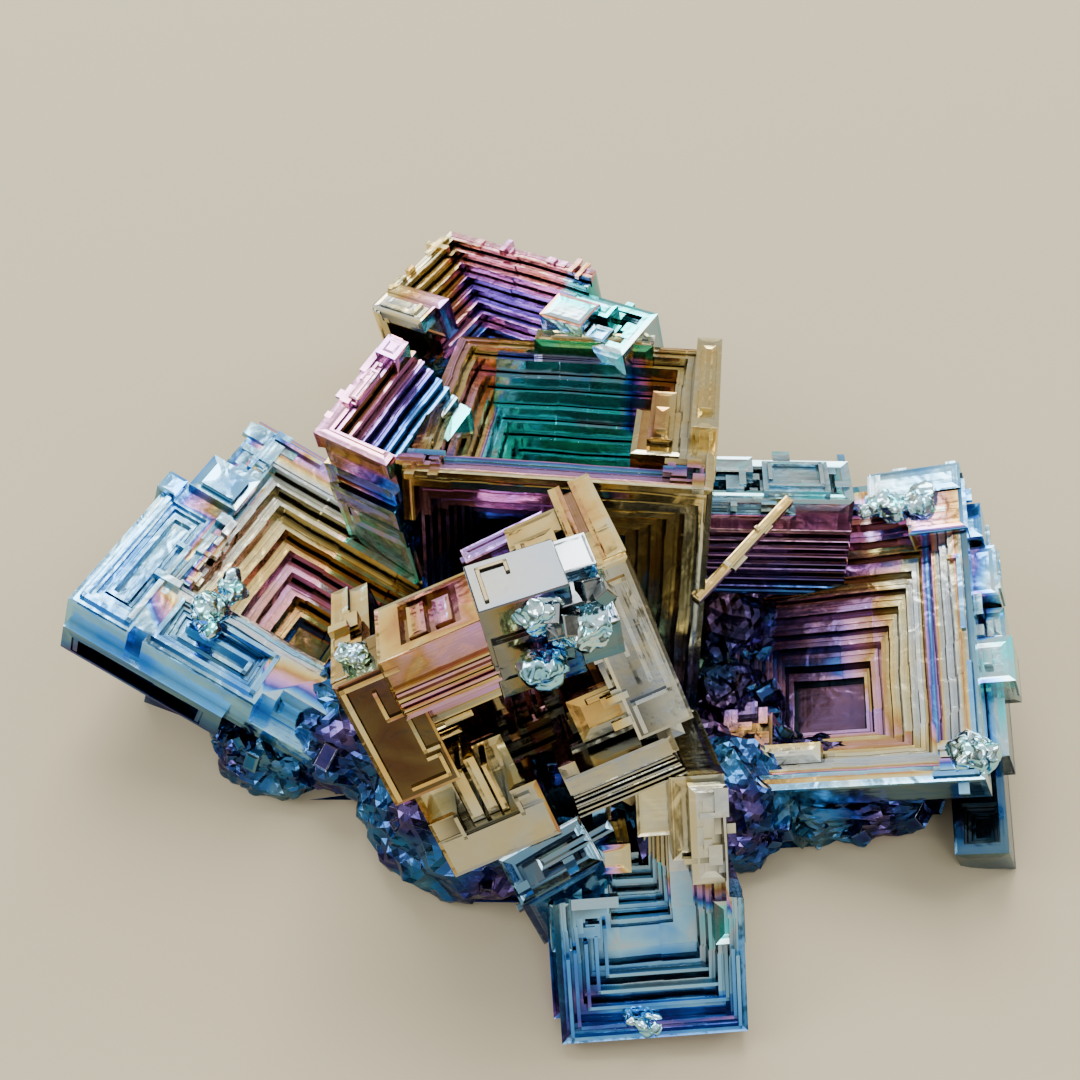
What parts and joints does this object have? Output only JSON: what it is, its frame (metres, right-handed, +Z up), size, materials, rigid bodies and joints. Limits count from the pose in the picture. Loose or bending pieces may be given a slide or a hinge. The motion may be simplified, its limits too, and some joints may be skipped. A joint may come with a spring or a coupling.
{
  "type": "bismuth hopper crystal",
  "caption": "Cluster of iridescent stepped bismuth hopper crystals grown into one another on a crusty root cut off flat.",
  "frame": {"origin": "middle of the cluster's bounding box, on the flat underside", "axes": "+Z up from the flat underside; -Y towards the side with the low front crystal; +X towards the broad crystal on the right"},
  "size_m": [0.0988, 0.0984, 0.0407],
  "materials": {
    "bismuth": "bright metal under an oxide film that turns from gold through magenta, violet and blue to teal"
  },
  "bodies": {
    "root": {"bismuth_cluster": "bismuth"}
  },
  "joints": []
}
